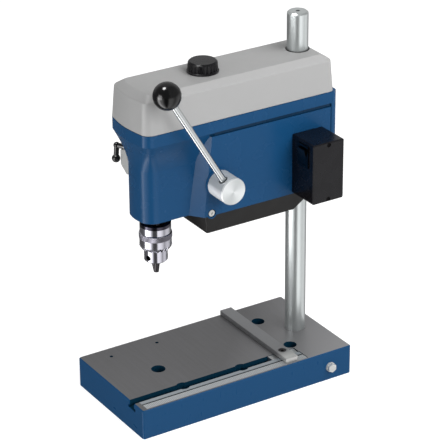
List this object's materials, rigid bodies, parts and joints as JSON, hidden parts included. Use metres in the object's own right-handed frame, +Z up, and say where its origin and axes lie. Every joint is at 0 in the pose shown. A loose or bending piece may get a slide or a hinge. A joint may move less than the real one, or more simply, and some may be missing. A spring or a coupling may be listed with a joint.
{
  "type": "benchtop drill press",
  "caption": "Small benchtop drill press: hollow bed with a graduated fence groove, round column, belt-driven head with lever-fed quill, keyed chuck and lift-off cover.",
  "frame": {"origin": "middle of the bed's underside, on the bench", "axes": "+Z up, -Y towards the operator, +X towards the feed lever and the switch box"},
  "size_m": [0.16, 0.301, 0.446],
  "materials": {
    "cast_iron_ground": "ground top, blue paint on the sides",
    "steel": "ground",
    "dark_steel": "blackened",
    "bolt_steel": "zinc plated",
    "rail_alu": "anodised",
    "turned_alu": "turned",
    "bronze": "sintered",
    "blue_paint": "semi-gloss blue",
    "grey_cover": "light grey",
    "black_plastic": "black",
    "black_gloss": "black",
    "chrome": "polished",
    "motor_case": "dark grey",
    "belt_rubber": "black"
  },
  "bodies": {
    "bed": {"base_casting": "cast_iron_ground", "column": "steel", "column_clamp_bolt": "bolt_steel", "scale_rail": "rail_alu"},
    "fence": {"fence_bar": "rail_alu", "fence_nut": "steel"},
    "fence_clamp": {"fence_screw": "dark_steel"},
    "column_slider": {"column_bush": "bronze"},
    "head": {"head_casting": "blue_paint", "under_tray": "black_plastic", "tray_screws": "bolt_steel", "head_clamp_bolt": "bolt_steel", "quill_key_screw": "dark_steel", "pulley_bearing": "steel", "motor": "motor_case", "motor_screws": "dark_steel", "drive_belt": "belt_rubber", "feed_bushes": "bronze", "spring_cup": "black_plastic", "return_spring": "dark_steel", "lock_bracket": "bolt_steel", "cover_stud": "steel", "switch_box": "black_plastic", "switch_box_lid": "black_plastic", "lid_screws": "bolt_steel", "switch_frame": "black_gloss", "cord_gland": "black_plastic"},
    "quill": {"quill": "steel", "quill_bearings": "steel"},
    "spindle": {"spindle": "steel", "chuck_body": "chrome"},
    "chuck_sleeve": {"chuck_sleeve": "chrome", "chuck_nut": "dark_steel"},
    "jaw_1": {"jaw_1": "dark_steel"},
    "jaw_2": {"jaw_2": "dark_steel"},
    "jaw_3": {"jaw_3": "dark_steel"},
    "spindle_pulley": {"spindle_pulley": "turned_alu"},
    "motor_rotor": {"motor_shaft": "steel", "motor_pulley": "turned_alu"},
    "feed": {"feed_shaft": "steel", "feed_sector": "steel", "feed_hub": "turned_alu", "lever_rod": "chrome", "ball_knob": "black_gloss"},
    "quill_lock": {"quill_lock_screw": "bolt_steel", "quill_lock_lever": "black_plastic"},
    "cover": {"top_cover": "grey_cover", "column_ring": "black_plastic"},
    "cover_knob": {"cover_knob": "black_plastic"},
    "rocker": {"switch_rocker": "black_gloss"}
  },
  "joints": [
    {"name": "head_height", "type": "slide", "parent": "bed", "child": "column_slider", "axis": [0, 0, 1], "range_m": [-0.08, 0.03]},
    {"name": "head_swivel", "type": "hinge", "parent": "column_slider", "child": "head", "pos_m": [0, 0.1146, 0.3], "axis": [0, 0, 1], "range_deg": [-180, 180]},
    {"name": "feed_lever", "type": "hinge", "parent": "head", "child": "feed", "pos_m": [0, -0.0189, 0.2793], "axis": [1, 0, 0], "range_deg": [0, 37.78], "stiffness_Nm_per_rad": 0.7, "springref_deg": -57.3},
    {"name": "quill_feed", "type": "slide", "parent": "head", "child": "quill", "axis": [0, 0, -1], "range_m": [0, 0.0301]},
    {"name": "spindle_spin", "type": "hinge", "parent": "quill", "child": "spindle", "pos_m": [0, -0.0794, 0.27], "axis": [0, 0, 1], "continuous": true},
    {"name": "chuck_sleeve_turn", "type": "hinge", "parent": "spindle", "child": "chuck_sleeve", "pos_m": [0, -0.0794, 0.208], "axis": [0, 0, 1], "range_deg": [0, 1800]},
    {"name": "jaw_1_slide", "type": "slide", "parent": "spindle", "child": "jaw_1", "axis": [-0.0677, 0.1966, 0.9781], "range_m": [0, 0.01001]},
    {"name": "jaw_2_slide", "type": "slide", "parent": "spindle", "child": "jaw_2", "axis": [-0.1364, -0.1569, 0.9781], "range_m": [0, 0.01001]},
    {"name": "jaw_3_slide", "type": "slide", "parent": "spindle", "child": "jaw_3", "axis": [0.2041, -0.0397, 0.9781], "range_m": [0, 0.01001]},
    {"name": "pulley_spin", "type": "hinge", "parent": "head", "child": "spindle_pulley", "pos_m": [0, -0.0794, 0.36], "axis": [0, 0, 1], "continuous": true},
    {"name": "motor_spin", "type": "hinge", "parent": "head", "child": "motor_rotor", "pos_m": [0, 0.0386, 0.33], "axis": [0, 0, 1], "continuous": true},
    {"name": "quill_lock_turn", "type": "hinge", "parent": "head", "child": "quill_lock", "pos_m": [-0.03464, -0.0994, 0.3154], "axis": [-0.866, -0.5, 0], "range_deg": [-60, 60]},
    {"name": "cover_lift", "type": "slide", "parent": "head", "child": "cover", "axis": [0, 0, 1], "range_m": [0, 0.048]},
    {"name": "cover_knob_turn", "type": "hinge", "parent": "cover", "child": "cover_knob", "pos_m": [0, -0.0136, 0.406], "axis": [0, 0, 1], "range_deg": [0, 1440]},
    {"name": "fence_slide", "type": "slide", "parent": "bed", "child": "fence", "axis": [0, 1, 0], "range_m": [-0.18, 0.0012]},
    {"name": "fence_screw_turn", "type": "hinge", "parent": "fence", "child": "fence_clamp", "pos_m": [0.05, 0.0628, 0.04], "axis": [0, 0, 1], "range_deg": [0, 360]},
    {"name": "switch_rock", "type": "hinge", "parent": "head", "child": "rocker", "pos_m": [0.064, 0.0808, 0.2975], "axis": [1, 0, 0], "range_deg": [-18, 0]}
  ],
  "couplings": [
    {"joint": "quill_feed", "follows": "feed_lever", "m_per_rad": 0.0455},
    {"joint": "spindle_spin", "follows": "motor_spin", "ratio": 0.73913},
    {"joint": "pulley_spin", "follows": "motor_spin", "ratio": 0.73913},
    {"joint": "jaw_1_slide", "follows": "chuck_sleeve_turn", "m_per_rad": 0.00031831},
    {"joint": "jaw_2_slide", "follows": "chuck_sleeve_turn", "m_per_rad": 0.00031831},
    {"joint": "jaw_3_slide", "follows": "chuck_sleeve_turn", "m_per_rad": 0.00031831}
  ]
}
